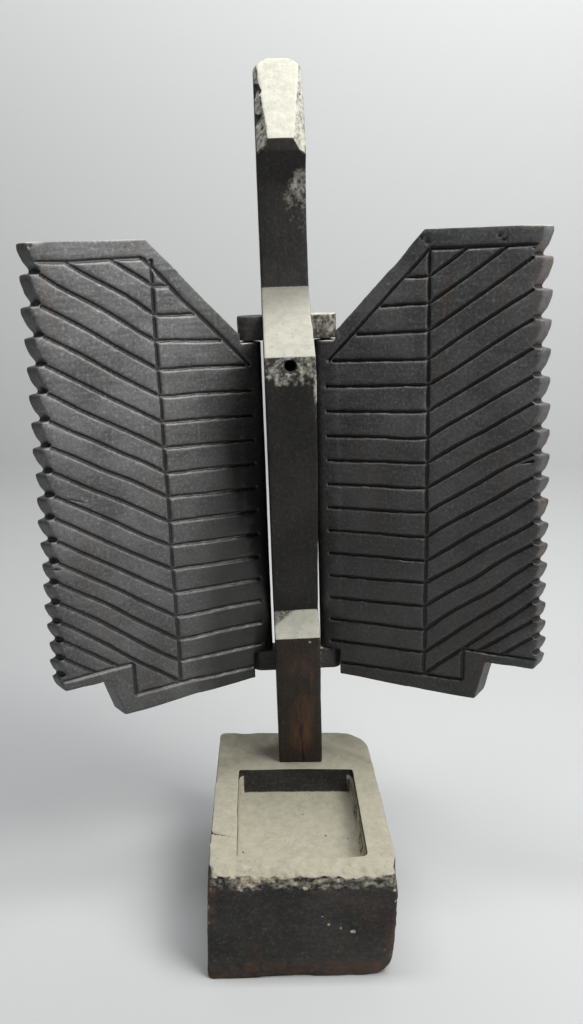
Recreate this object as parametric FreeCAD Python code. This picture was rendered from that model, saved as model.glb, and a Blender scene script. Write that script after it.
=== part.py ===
"""Carved wooden bird with two swinging wing boards, standing on a tray base.

Frame, in millimetres: +Z up, the breast faces -Y, +X is the viewer's right.
The origin is the middle of the base's underside.
"""
import FreeCAD, Part
import math
import os

from FreeCAD import Vector

# ---------------------------------------------------------------- base block
BASE_WIDTH = 134.0            # at the back
BASE_FRONT_SPREAD = 2.5       # how much wider each side stands at the front
BASE_LENGTH = 194.0
BASE_HEIGHT = 90.0
BASE_BACK_RIGHT_ROUND = 24.0
BASE_CORNER_ROUND = 4.0
BASE_RIGHT_UNDERCUT = 9.0
TRAY_DEPTH = 24.0
TRAY_SIDE_WALL = 19.0
TRAY_FRONT_WALL = 22.0
DECK_BEHIND_TRAY = 60.0

# ---------------------------------------------------------------- bird board
BIRD_LEAN_DEG = 2.5           # the bird has settled over to its right side
BIRD_SHIFT = 5.0              # and stands a little off the base's middle
BOARD_THICKNESS = 37.5
FOOT_SETBACK = 10.0           # from the tray's back wall to the front of the foot
LEG_DEPTH = 38.0
LEG_LEAN = 13.0               # how far the leg's front leans out between foot and ledge
LEDGE_HEIGHT = 123.0
LEDGE_RUN = 22.0
LEDGE_RISE = 16.0
BREAST_REACH = 30.0           # how far the breast stands out from the ledge
BREAST_HEIGHT = 336.0
BREAST_FACET = 17.0
BREAST_FACET_LEAN = 3.0
SHOULDER_RUN = 76.0           # the long slope from breast to neck
SHOULDER_RISE = 44.0
NECK_DEPTH = 44.0
NECK_HEIGHT = 79.0
BEAK_REACH = 17.0
BEAK_UNDERCUT = 18.0
BEAK_TIP = 9.0
FOREHEAD_RUN = 44.0
FOREHEAD_RISE = 60.0
CROWN_RISE = 2.5
BEAK_TIP_WIDTH = 19.0
CROWN_SHOULDER_DROP = 9.5
CROWN_CHAMFER = 3.0
CHEEK_SLOPE = 1.0
HAUNCH_HEIGHT = 176.0         # where the straight back turns in towards the leg
HAUNCH_FALL = 62.0
BREAST_HOLE_R = 3.8
BREAST_HOLE_DEPTH = 22.0
BREAST_HOLE_PLACE = 0.6       # share of the facet's height

# --------------------------------------------------- how the bird is held up
SOLE_SPARE = 4.0              # wood left under the leg and trimmed to sit flat on the base
TENON_DEPTH = 62.0
TENON_WIDTH = 24.0
TENON_LENGTH = 27.0
WEDGE_THICKNESS = 3.0
WEDGE_TAPER = 1.0
WEDGE_SHORT = 7.0             # how far the wedges stop above the socket's floor
PEG_R = 4.0
PEG_PROUD = 1.5
PEG_BITE = 13.0               # how far a peg runs into the piece that it locks

# ------------------------------------------------------------------ crossbars
BAR_DEPTH = 17.0
BAR_HEIGHT = 19.0
LOWER_BAR_ABOVE_BASE = 92.0
UPPER_BAR_ABOVE_BASE = 369.0
BAR_BEHIND_LEG_FRONT = 20.0   # from the front of the foot to the middle of the bars

# --------------------------------------------------------------------- wings
WING_THICKNESS = 19.0
WING_SWEEP_DEG = 28.0         # at rest the wings stand forward of straight out
WING_CLEAR = 1.5              # from the bird's side to a wing's stile
PINTLE_R = 4.0
PINTLE_IN_WING = 34.0
PINTLE_SHORT = 1.0             # a pintle ends a little inside its bar
WING_ABOVE_BAR = 57.0         # from the upper bar's top to the left wing's top edge
RIGHT_WING_TALLER = 1.0       # the right wing was cut a little higher
WING_BELOW_BAR = 3.0          # from the lower bar's underside to the bottom edge
WING_TOP_REACH = 163.5
WING_FOOT_REACH = 174.5
WING_TOP_INNER = 81.5
WING_SLOPE_LOW = 7.0          # height of the slope's low end above the stile
STEP_REACH = 127.0
STEP_LEAN = 8.0
STEP_HEIGHT = 33.0
TOOTH_COUNT = 19
TOOTH_BITE = 7.8              # depth of the first notch; the others shrink with the teeth
LEDGE_FALL = 5.0              # how far the lowest notch drops towards the back face
TOOTH_END = 0.24              # upright share of each tooth's end
TOOTH_TURN = 0.64             # where below its tip the end turns in to the next notch
TOOTH_TURN_BITE = 0.36        # and how far in it is by then, as a share of the notch
TOOTH_PITCH_FALL = 0.34       # how much finer the last tooth is than the first
END_SKEW = 3.5                # the teeth reach further on the back face
BAND = 13.0                   # plain border inside the edge
SLOPE_BAND = 11.5             # the same along the sloping edge
RIB_REACH = 78.5
RIGHT_RIB_REACH = 85.0
RIB_TOP_STEP = 70.5           # from the wing's top to the rib end of the first feather cut
RIB_FOOT_STEP = 14.0          # from the wing's foot to the last rib cut
FEATHERS_ABOVE = 2            # feather cuts that start on the top band
FEATHER_SAG = 4.0             # fall of the inner cuts towards the hinge
GROOVE_WIDTH = 3.6
GROOVE_DEPTH = 2.6
GROOVE_END_REACH = 3.0

# ---------------------------------------------------------------- clearances
SEAT_GAP = 0.15               # a bar in its mortise, a tenon in its socket
PEG_GAP = 0.05
PINTLE_GAP = 0.08             # a pintle turning in its bar
STILE_FOOT_GAP = 0.4
STILE_HEAD_GAP = 1.0
BAR_END_GAP = 3.0             # from the bar's round end to the wing's notch

# ------------------------------------------------------------- worked out
TRAY_FRONT_Y = -BASE_LENGTH / 2 + TRAY_FRONT_WALL
TRAY_BACK_Y = BASE_LENGTH / 2 - DECK_BEHIND_TRAY
TRAY_HALF = BASE_WIDTH / 2 - TRAY_SIDE_WALL
FOOT_FRONT_Y = TRAY_BACK_Y + FOOT_SETBACK
FOOT_BACK_Y = FOOT_FRONT_Y + LEG_DEPTH
LEDGE_FRONT_Y = FOOT_FRONT_Y - LEG_LEAN
BREAST_Y = LEDGE_FRONT_Y - BREAST_REACH
NECK_FRONT_Y = BREAST_Y + BREAST_FACET_LEAN + SHOULDER_RUN
BACK_Y = NECK_FRONT_Y + NECK_DEPTH
HINGE_Y = FOOT_FRONT_Y + BAR_BEHIND_LEG_FRONT
HINGE_OFFSET = BOARD_THICKNESS / 2 + WING_CLEAR + WING_THICKNESS / 2
TENON_FRONT_Y = FOOT_FRONT_Y + (LEG_DEPTH - TENON_LENGTH) / 2
LOWER_BAR_Z = BASE_HEIGHT + LOWER_BAR_ABOVE_BASE
UPPER_BAR_Z = BASE_HEIGHT + UPPER_BAR_ABOVE_BASE
STILE_FOOT_Z = LOWER_BAR_Z + BAR_HEIGHT / 2 + STILE_FOOT_GAP
STILE_HEAD_Z = UPPER_BAR_Z - BAR_HEIGHT / 2 - STILE_HEAD_GAP
NOTCH_REACH = BAR_DEPTH / 2 + BAR_END_GAP
WING_TOP_Z = UPPER_BAR_Z + BAR_HEIGHT / 2 + WING_ABOVE_BAR
WING_FOOT_Z = LOWER_BAR_Z - BAR_HEIGHT / 2 - WING_BELOW_BAR
STEP_Z = WING_FOOT_Z + STEP_HEIGHT
SLOPE_LOW_Z = STILE_HEAD_Z + WING_SLOPE_LOW
PEG_Z = BASE_HEIGHT - TENON_DEPTH / 2


def block(x0, x1, y0, y1, z0, z1):
    """A box between two corners."""
    return Part.makeBox(x1 - x0, y1 - y0, z1 - z0, Vector(x0, y0, z0))


def rod(radius, start, end):
    """A round rod from one point to another."""
    along = end - start
    return Part.makeCylinder(radius, along.Length, start, along)


def plate(points, thickness_vector):
    """A flat face on the given points, drawn out along a vector."""
    ring = Part.makePolygon(points + [points[0]])
    return Part.Face(ring).extrude(thickness_vector)


def leaned(shape):
    """A piece of the bird, drawn upright, as it leans on the base."""
    shape = shape.copy()
    shape.rotate(Vector(0, 0, BASE_HEIGHT), Vector(0, 1, 0), -BIRD_LEAN_DEG)
    shape.translate(Vector(BIRD_SHIFT, 0, 0))
    return shape


def upright_edges(shape, near_x, near_y):
    """The upright edges of a shape at one corner of its plan."""
    found = []
    for edge in shape.Edges:
        low, high = edge.Vertexes[0].Point, edge.Vertexes[-1].Point
        stands = abs(low.x - high.x) < 1e-6 and abs(low.y - high.y) < 1e-6
        if stands and abs(low.x - near_x) < 1e-6 and abs(low.y - near_y) < 1e-6:
            found.append(edge)
    return found


# ------------------------------------------------------------------- the base
def base_block():
    """The tray block with its recess, the bird's socket and the peg hole."""
    half = BASE_WIDTH / 2
    wide = half + BASE_FRONT_SPREAD
    front, back = -BASE_LENGTH / 2, BASE_LENGTH / 2
    body = plate([Vector(-wide, front, 0), Vector(wide, front, 0),
                  Vector(half, back, 0), Vector(-half, back, 0)], Vector(0, 0, BASE_HEIGHT))
    body = body.makeFillet(BASE_BACK_RIGHT_ROUND, upright_edges(body, half, back))
    for x, y in ((-half, back), (-wide, front), (wide, front)):
        body = body.makeFillet(BASE_CORNER_ROUND, upright_edges(body, x, y))
    undercut = plate([Vector(wide + 1, front - 1, -1),
                      Vector(wide + 1, front - 1, BASE_RIGHT_UNDERCUT + 1),
                      Vector(wide - BASE_RIGHT_UNDERCUT - 1, front - 1, -1)],
                     Vector(0, BASE_LENGTH + 2, 0))
    tray = block(-TRAY_HALF, TRAY_HALF, TRAY_FRONT_Y, TRAY_BACK_Y,
                 BASE_HEIGHT - TRAY_DEPTH, BASE_HEIGHT + 1)
    grip = TENON_WIDTH / 2 + SEAT_GAP
    socket = block(-grip, grip, TENON_FRONT_Y - WEDGE_THICKNESS,
                   TENON_FRONT_Y + TENON_LENGTH + WEDGE_THICKNESS,
                   BASE_HEIGHT - TENON_DEPTH - SEAT_GAP, BASE_HEIGHT + 1)
    peg_hole = rod(PEG_R + PEG_GAP, Vector(0, TENON_FRONT_Y, PEG_Z), Vector(0, back + 1, PEG_Z))
    return body.cut([undercut, tray, leaned(socket), leaned(peg_hole)])


def foot_wedges():
    """Two tapered slips, in front of the tenon and behind it."""
    slips = []
    top = BASE_HEIGHT
    foot = top - TENON_DEPTH + WEDGE_SHORT
    thin = WEDGE_THICKNESS - WEDGE_TAPER
    half = TENON_WIDTH / 2 - 1
    for wall_y, way in ((TENON_FRONT_Y - WEDGE_THICKNESS, 1),
                        (TENON_FRONT_Y + TENON_LENGTH + WEDGE_THICKNESS, -1)):
        points = [Vector(-half, wall_y, foot), Vector(-half, wall_y, top),
                  Vector(-half, wall_y + way * WEDGE_THICKNESS, top),
                  Vector(-half, wall_y + way * thin, foot)]
        slips.append(plate(points, Vector(2 * half, 0, 0)))
    hole = rod(PEG_R + PEG_GAP, Vector(0, TENON_FRONT_Y, PEG_Z), Vector(0, BASE_LENGTH, PEG_Z))
    slips[1] = slips[1].cut(hole)
    return Part.makeCompound(slips)


# ------------------------------------------------------------------- the bird
def bird_outline():
    """The bird's side view, as a closed face on the middle plane."""
    def at(y, above_base):
        return Vector(0, y, BASE_HEIGHT + above_base)

    ledge_back_y = LEDGE_FRONT_Y + LEDGE_RUN
    ledge_top = LEDGE_HEIGHT + LEDGE_RISE
    facet_top = BREAST_HEIGHT + BREAST_FACET
    neck_root = facet_top + SHOULDER_RISE
    neck_top = neck_root + NECK_HEIGHT
    beak_y = NECK_FRONT_Y - BEAK_REACH
    beak_low = neck_top + BEAK_UNDERCUT
    beak_top = beak_low + BEAK_TIP
    crown = beak_top + FOREHEAD_RISE
    crown_y = beak_y + FOREHEAD_RUN

    foot_front = at(FOOT_FRONT_Y, 0)
    ledge_front = at(LEDGE_FRONT_Y, LEDGE_HEIGHT)
    ledge_back = at(ledge_back_y, ledge_top)
    breast_low = at(BREAST_Y, BREAST_HEIGHT)
    breast_high = at(BREAST_Y + BREAST_FACET_LEAN, facet_top)
    neck_low = at(NECK_FRONT_Y, neck_root)
    neck_high = at(NECK_FRONT_Y, neck_top)
    beak_under = at(beak_y, beak_low)
    beak_over = at(beak_y, beak_top)
    crown_front = at(crown_y, crown)
    crown_back = at(BACK_Y - 6, crown - CROWN_RISE)
    nape = at(BACK_Y, neck_top + BEAK_UNDERCUT)
    haunch = at(BACK_Y, HAUNCH_HEIGHT)
    leg_back = at(FOOT_BACK_Y, HAUNCH_HEIGHT - HAUNCH_FALL)
    foot_back = at(FOOT_BACK_Y, 0)

    # the belly swells forward between ledge and breast, the neck hollows a
    # little, and the haunch and the top of the head are rounded
    belly_mid = (ledge_back + breast_low) * 0.5 + Vector(0, -5, 0)
    neck_mid = (neck_low + neck_high) * 0.5 + Vector(0, 3, 0)
    head_mid = (crown_front + crown_back) * 0.5 + Vector(0, 0, CROWN_RISE)
    haunch_mid = (haunch + leg_back) * 0.5 + Vector(0, 7, -5)
    edges = [
        Part.LineSegment(foot_front, ledge_front),
        Part.LineSegment(ledge_front, ledge_back),
        Part.Arc(ledge_back, belly_mid, breast_low),
        Part.LineSegment(breast_low, breast_high),
        Part.LineSegment(breast_high, neck_low),
        Part.Arc(neck_low, neck_mid, neck_high),
        Part.LineSegment(neck_high, beak_under),
        Part.LineSegment(beak_under, beak_over),
        Part.LineSegment(beak_over, crown_front),
        Part.Arc(crown_front, head_mid, crown_back),
        Part.LineSegment(crown_back, nape),
        Part.LineSegment(nape, haunch),
        Part.Arc(haunch, haunch_mid, leg_back),
        Part.LineSegment(leg_back, foot_back),
        Part.LineSegment(foot_back, foot_front),
    ]
    face = Part.Face(Part.Wire([edge.toShape() for edge in edges]))
    return face, beak_over, crown_front


def beyond(point, normal):
    """Everything near the bird on the far side of a plane."""
    size = 400.0
    slab = block(-size, size, -size, size, 0, size)
    slab.Placement = FreeCAD.Placement(point, FreeCAD.Rotation(Vector(0, 0, 1), normal))
    return slab


def head_chamfer(side, beak_over, crown_front):
    """What is cut from one side of the head: wide at the beak, narrow at the crown."""
    half = BOARD_THICKNESS / 2
    beak_edge = beak_over + Vector(side * BEAK_TIP_WIDTH / 2, 0, 0)
    crown_edge = crown_front + Vector(side * (half - CROWN_CHAMFER), 0, 0)
    forehead = (crown_front - beak_over).normalize()
    inward = Vector(0, forehead.z, -forehead.y)
    cheek = Vector(side, 0, 0) + inward * CHEEK_SLOPE
    normal = (crown_edge - beak_edge).cross(cheek)
    if normal.x * side < 0:
        normal = normal * -1
    return beyond(beak_edge, normal)


def above_crown(crown_front):
    """What is cut from the top of the head, leaving a round crown from side to side."""
    half = BOARD_THICKNESS / 2
    peak = crown_front.z + CROWN_RISE
    near_y = crown_front.y - 60

    def corner(x, z):
        return Vector(x, near_y, z)

    shoulder = peak - CROWN_SHOULDER_DROP
    top = peak + 30
    edges = [
        Part.Arc(corner(-half, shoulder), corner(0, peak), corner(half, shoulder)),
        Part.LineSegment(corner(half, shoulder), corner(half + 5, shoulder)),
        Part.LineSegment(corner(half + 5, shoulder), corner(half + 5, top)),
        Part.LineSegment(corner(half + 5, top), corner(-half - 5, top)),
        Part.LineSegment(corner(-half - 5, top), corner(-half - 5, shoulder)),
        Part.LineSegment(corner(-half - 5, shoulder), corner(-half, shoulder)),
    ]
    face = Part.Face(Part.Wire([edge.toShape() for edge in edges]))
    return face.extrude(Vector(0, 120, 0))


def bar_mortise(height):
    """The opening through the bird that one crossbar passes through."""
    reach = BOARD_THICKNESS / 2 + 1
    grip_y = BAR_DEPTH / 2 + SEAT_GAP
    grip_z = BAR_HEIGHT / 2 + SEAT_GAP
    return block(-reach, reach, HINGE_Y - grip_y, HINGE_Y + grip_y, height - grip_z, height + grip_z)


def body_plank():
    """The bird: leg, breast, neck and head sawn from one thick board."""
    face, beak_over, crown_front = bird_outline()
    half = BOARD_THICKNESS / 2
    face.translate(Vector(-half, 0, 0))
    body = face.extrude(Vector(BOARD_THICKNESS, 0, 0))
    for side in (-1, 1):
        body = body.cut(head_chamfer(side, beak_over, crown_front))
    body = body.cut(above_crown(crown_front))
    sole = block(-half, half, FOOT_FRONT_Y, FOOT_BACK_Y, BASE_HEIGHT - SOLE_SPARE, BASE_HEIGHT)
    tenon = block(-TENON_WIDTH / 2, TENON_WIDTH / 2, TENON_FRONT_Y, TENON_FRONT_Y + TENON_LENGTH,
                  BASE_HEIGHT - TENON_DEPTH, BASE_HEIGHT + 1)
    body = body.fuse([sole, tenon]).removeSplitter()
    hole_z = BASE_HEIGHT + BREAST_HEIGHT + BREAST_FACET * BREAST_HOLE_PLACE
    mouth_y = BREAST_Y + BREAST_FACET_LEAN * BREAST_HOLE_PLACE
    breast_hole = rod(BREAST_HOLE_R, Vector(0, BREAST_Y - 1, hole_z),
                      Vector(0, mouth_y + BREAST_HOLE_DEPTH, hole_z))
    bore = PEG_R + PEG_GAP
    foot_peg_hole = rod(bore, Vector(0, TENON_FRONT_Y + TENON_LENGTH - PEG_BITE, PEG_Z),
                        Vector(0, BASE_LENGTH, PEG_Z))
    upper_peg_hole = rod(bore, Vector(0, HINGE_Y, UPPER_BAR_Z), Vector(0, BACK_Y + 1, UPPER_BAR_Z))
    lower_peg_hole = rod(bore, Vector(0, HINGE_Y, LOWER_BAR_Z), Vector(0, FOOT_BACK_Y + 1, LOWER_BAR_Z))
    return body.cut([bar_mortise(UPPER_BAR_Z), bar_mortise(LOWER_BAR_Z), breast_hole,
                     foot_peg_hole, upper_peg_hole, lower_peg_hole])


def trimmed_sole(body):
    """The leaning bird with the underside of its leg cut to the base's level top."""
    far = BASE_LENGTH
    grip = TENON_WIDTH / 2
    around = block(-far, far, -far, far, BASE_HEIGHT - SOLE_SPARE * 2, BASE_HEIGHT)
    tenon = block(-grip, grip, TENON_FRONT_Y, TENON_FRONT_Y + TENON_LENGTH, 0, BASE_HEIGHT + 1)
    return body.cut(around.cut(leaned(tenon)))


def below_base_top(slips):
    """The wedges with their heads cut level with the base's top."""
    far = BASE_LENGTH
    return slips.cut(block(-far, far, -far, far, BASE_HEIGHT, BASE_HEIGHT + far))


# -------------------------------------------------------------- bars and pegs
def crossbar(height):
    """A bar with ends rounded about the wings' axes, drilled for the pintles."""
    flat = BAR_DEPTH / 2
    low, high = height - BAR_HEIGHT / 2, height + BAR_HEIGHT / 2
    bar = block(-HINGE_OFFSET, HINGE_OFFSET, HINGE_Y - flat, HINGE_Y + flat, low, high)
    holes = []
    for side in (-1, 1):
        x = side * HINGE_OFFSET
        bar = bar.fuse(rod(flat, Vector(x, HINGE_Y, low), Vector(x, HINGE_Y, high)))
        holes.append(rod(PINTLE_R + PINTLE_GAP, Vector(x, HINGE_Y, low - 1),
                         Vector(x, HINGE_Y, high + 1)))
    peg_end = HINGE_Y + flat - PEG_BITE
    holes.append(rod(PEG_R + PEG_GAP, Vector(0, peg_end, height), Vector(0, HINGE_Y + flat + 1, height)))
    return bar.removeSplitter().cut(holes)


def peg(locked_face_y, outer_y, height):
    """A dowel driven in from behind, with a softened outer end."""
    start = Vector(0, locked_face_y - PEG_BITE + 0.5, height)
    end = Vector(0, outer_y + PEG_PROUD, height)
    dowel = rod(PEG_R, start, end)
    rim = [edge for edge in dowel.Edges if abs(edge.CenterOfMass.y - end.y) < 1e-6]
    return dowel.makeChamfer(PEG_R / 5, rim)


def pintle(side, upper):
    """A dowel through a bar's end and into the wing's stile."""
    x = side * HINGE_OFFSET
    if upper:
        inner_z = STILE_HEAD_Z - PINTLE_IN_WING + 1
        outer_z = UPPER_BAR_Z + BAR_HEIGHT / 2 - PINTLE_SHORT
    else:
        inner_z = STILE_FOOT_Z + PINTLE_IN_WING - 1
        outer_z = LOWER_BAR_Z - BAR_HEIGHT / 2 + PINTLE_SHORT
    dowel = rod(PINTLE_R, Vector(x, HINGE_Y, inner_z), Vector(x, HINGE_Y, outer_z))
    rim = [edge for edge in dowel.Edges if abs(edge.CenterOfMass.z - outer_z) < 1e-6]
    return dowel.makeChamfer(PINTLE_R / 5, rim)


# ------------------------------------------------------------------ the wings
# A wing is drawn flat, with its hinge axis on Z, its length along +X and its
# carved face towards -Y, and then swung and moved to its place.
def tooth_tops(top_z):
    """Heights of the teeth's upper corners, finer towards the foot."""
    count = TOOTH_COUNT - 1
    coarse = 1.0
    fine = 1.0 - TOOTH_PITCH_FALL
    shares = [coarse + (fine - coarse) * i / (count - 1) for i in range(count)]
    last_top = STEP_Z + (top_z - STEP_Z) * fine / (sum(shares) + fine)
    scale = (top_z - last_top) / sum(shares)
    tops = [top_z]
    for share in shares:
        tops.append(tops[-1] - share * scale)
    return tops


def edge_reach(z, top_z):
    """How far the wing's toothed edge stands from the hinge at a height."""
    share = (top_z - z) / (top_z - STEP_Z)
    return WING_TOP_REACH + (WING_FOOT_REACH - WING_TOP_REACH) * share


def bites(tops):
    """How deep the notch above each tooth goes, from the second tooth down."""
    first = tops[0] - tops[1]
    return [TOOTH_BITE * (above - top) / first for above, top in zip(tops, tops[1:])]


def outer_edge(top_z):
    """Corners of the outer edge, the last tooth and the step, from the top down."""
    tops = tooth_tops(top_z)
    last = tops[-1]
    foot_reach = edge_reach(last, top_z)
    return [(WING_TOP_REACH, top_z), (foot_reach, last),
            (foot_reach, last - (last - STEP_Z) * TOOTH_END),
            (WING_FOOT_REACH - bites(tops)[-1] * 0.6, STEP_Z),
            (STEP_REACH + STEP_LEAN, STEP_Z), (STEP_REACH, WING_FOOT_Z)]


def notches(top_z):
    """The cuts between the teeth; each falls a little from the carved face to the back."""
    tops = tooth_tops(top_z)
    cuts = []
    for above, top, bite in zip(tops, tops[1:], bites(tops)):
        fall = LEDGE_FALL * (top_z - top) / (top_z - STEP_Z)
        out = Vector(END_SKEW, WING_THICKNESS, -fall)
        corner = edge_reach(above, top_z)
        end_z = above - (above - top) * TOOTH_END
        turn_z = above - (above - top) * TOOTH_TURN
        ring = [Vector(reach, -WING_THICKNESS / 2, z) - out * 0.1
                for reach, z in ((corner + 20, end_z), (corner, end_z),
                                 (corner - bite * TOOTH_TURN_BITE, turn_z),
                                 (corner - bite, top + 0.6),
                                 (edge_reach(top, top_z), top), (corner + 20, top))]
        cuts.append(plate(ring, out * 1.2))
    return cuts


def on_front(reach, z):
    """A point on the wing's carved face."""
    return Vector(reach, -WING_THICKNESS / 2, z)


def groove(start, end):
    """A V cut in the carved face between two (reach, height) points."""
    a, b = on_front(*start), on_front(*end)
    along = (b - a).normalize()
    across = Vector(-along.z, 0, along.x)
    lift = 0.5
    wide = across * (GROOVE_WIDTH / 2 * (1 + lift / GROOVE_DEPTH))
    out = Vector(0, -lift, 0)
    ring = [a + wide + out, a - wide + out, a + Vector(0, GROOVE_DEPTH, 0)]
    return plate(ring, b - a)


def slope_band_reach(z, top_z):
    """Where the band along the sloping edge ends, at a height."""
    rise = top_z - SLOPE_LOW_Z
    run = WING_TOP_INNER - NOTCH_REACH
    shift = SLOPE_BAND * math.hypot(rise, run) / run
    return NOTCH_REACH + (z - SLOPE_LOW_Z + shift) * run / rise


def feather_cuts(top_z, rib_reach):
    """The rib, the border lines and every feather line of one wing."""
    tops = tooth_tops(top_z)
    band_z = top_z - BAND
    step_band_z = STEP_Z + BAND * 0.7
    step_band_reach = STEP_REACH - BAND * 0.8
    rib_first = top_z - RIB_TOP_STEP
    rib_last = WING_FOOT_Z + RIB_FOOT_STEP
    edge_cuts = TOOTH_COUNT - 4
    rib_pitch = (rib_first - rib_last) / (edge_cuts - 1)
    rib_z = [rib_first - rib_pitch * i for i in range(-FEATHERS_ABOVE, edge_cuts)]
    band_foot_z = rib_first - FEATHER_SAG - rib_pitch

    def slope_line(z):
        return slope_band_reach(z, top_z)

    cuts = [
        ((edge_reach(band_z, top_z), band_z), (slope_line(band_z), band_z)),
        ((slope_line(band_z), band_z), (max(GROOVE_END_REACH, slope_line(band_foot_z)), band_foot_z)),
        ((rib_reach, band_z - 1), (rib_reach, rib_last)),
        ((rib_reach, rib_last), (step_band_reach, rib_last + 1)),
        ((step_band_reach, rib_last + 1), (step_band_reach, step_band_z)),
        ((step_band_reach, step_band_z), (WING_FOOT_REACH + 1, step_band_z)),
    ]
    # outer feathers fall from a tooth's notch, or from the top band, to the rib
    starts = [edge_reach(top, top_z) - bite + 1 for top, bite in zip(tops[1:], bites(tops))]
    slope = (tops[1] - rib_first) / (starts[0] - rib_reach)
    for i in range(FEATHERS_ABOVE):
        run = (band_z - rib_z[i]) / slope
        cuts.append(((rib_reach + run, band_z), (rib_reach, rib_z[i])))
    for start, top, z in zip(starts, tops[1:], rib_z[FEATHERS_ABOVE:]):
        cuts.append(((start, top), (rib_reach, z)))
    # the last two meet the band above the step
    for start, top in list(zip(starts, tops[1:]))[edge_cuts:-1]:
        fall = top - step_band_z
        cuts.append(((start, top), (start - fall / 0.8, step_band_z)))
    # inner feathers run almost level from the rib to the stile or the sloping band
    for z in rib_z:
        inner = max(GROOVE_END_REACH, slope_line(z))
        sag = FEATHER_SAG * (rib_reach - inner) / (rib_reach - GROOVE_END_REACH)
        if inner < rib_reach - 4:
            cuts.append(((rib_reach, z), (inner, z - sag)))
    return cuts


def flat_wing(top_z, rib_reach):
    """One wing board up to a height, drawn flat for the viewer's right."""
    front = -WING_THICKNESS / 2
    radius = WING_THICKNESS / 2
    far = WING_FOOT_REACH + 30

    def corner(reach, z):
        return Vector(reach, front, z)

    sheet = plate([corner(0, STILE_FOOT_Z), corner(NOTCH_REACH, STILE_FOOT_Z),
                   corner(NOTCH_REACH, WING_FOOT_Z), corner(far, WING_FOOT_Z),
                   corner(far, top_z), corner(WING_TOP_INNER, top_z),
                   corner(NOTCH_REACH, SLOPE_LOW_Z), corner(NOTCH_REACH, STILE_HEAD_Z),
                   corner(0, STILE_HEAD_Z)], Vector(0, WING_THICKNESS, 0))
    stile = rod(radius, Vector(0, 0, STILE_FOOT_Z), Vector(0, 0, STILE_HEAD_Z))
    sheet = sheet.fuse(stile).removeSplitter()

    edge = [corner(reach, z) for reach, z in outer_edge(top_z)]
    trim = plate([corner(-far, WING_FOOT_Z), corner(-far, top_z)] + edge,
                 Vector(END_SKEW, WING_THICKNESS, 0))
    board = sheet.common(trim).cut(notches(top_z))

    cutters = [groove(start, end) for start, end in feather_cuts(top_z, rib_reach)]
    for foot, head in ((STILE_FOOT_Z - 1, STILE_FOOT_Z + PINTLE_IN_WING),
                       (STILE_HEAD_Z - PINTLE_IN_WING, STILE_HEAD_Z + 1)):
        cutters.append(rod(PINTLE_R + PEG_GAP, Vector(0, 0, foot), Vector(0, 0, head)))
    return board.cut(cutters)


def placed_wing(flat, side):
    """The flat wing swung to its rest angle and moved to its hinge."""
    wing = flat.copy()
    wing.rotate(Vector(0, 0, 0), Vector(0, 0, 1), -WING_SWEEP_DEG)
    wing.translate(Vector(HINGE_OFFSET, HINGE_Y, 0))
    if side < 0:
        wing = wing.mirror(Vector(0, 0, 0), Vector(1, 0, 0))
    return wing


def print_hinges():
    """Each wing's hinge axis in the object's frame, for the record."""
    axle = Part.makeLine(Vector(0, 0, 0), Vector(0, 0, 1))
    middle = (LOWER_BAR_Z + UPPER_BAR_Z) / 2
    for side in (-1, 1):
        centre = leaned(Part.Vertex(side * HINGE_OFFSET, HINGE_Y, middle)).Point
        print("hinge", side, "through", tuple(round(v, 4) for v in centre))
    ends = [v.Point for v in leaned(axle).Vertexes]
    print("hinge direction", tuple(round(v, 6) for v in ends[1] - ends[0]))


def build():
    base = base_block()
    upright = {
        "foot_wedges": foot_wedges(),
        "foot_peg": peg(TENON_FRONT_Y + TENON_LENGTH, BASE_LENGTH / 2, PEG_Z),
        "body_plank": body_plank(),
        "upper_crossbar": crossbar(UPPER_BAR_Z),
        "lower_crossbar": crossbar(LOWER_BAR_Z),
        "upper_crossbar_peg": peg(HINGE_Y + BAR_DEPTH / 2, BACK_Y, UPPER_BAR_Z),
        "lower_crossbar_peg": peg(HINGE_Y + BAR_DEPTH / 2, FOOT_BACK_Y, LOWER_BAR_Z),
    }
    for side, name, top_z, rib_reach in ((-1, "left", WING_TOP_Z, RIB_REACH),
                                         (1, "right", WING_TOP_Z + RIGHT_WING_TALLER,
                                          RIGHT_RIB_REACH)):
        upright[name + "_wing"] = placed_wing(flat_wing(top_z, rib_reach), side)
        upright[name + "_upper_pintle"] = pintle(side, True)
        upright[name + "_lower_pintle"] = pintle(side, False)
    nodes = {"base_block": base}
    for name, shape in upright.items():
        nodes[name] = leaned(shape)
    nodes["body_plank"] = trimmed_sole(nodes["body_plank"])
    nodes["foot_wedges"] = below_base_top(nodes["foot_wedges"])
    print_hinges()
    os.makedirs("parts", exist_ok=True)
    for name, shape in nodes.items():
        shape.exportStep(os.path.join("parts", name + ".step"))
        box = shape.BoundBox
        print(f"{name:20s} solids {len(shape.Solids)} valid {shape.isValid()}"
              f" volume {shape.Volume:10.0f}"
              f"  x {box.XMin:7.1f} {box.XMax:7.1f}  y {box.YMin:7.1f} {box.YMax:7.1f}"
              f"  z {box.ZMin:7.1f} {box.ZMax:7.1f}")


build()
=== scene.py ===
import math

import bmesh
import bpy
import numpy as np
from mathutils import Matrix, Vector


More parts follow.
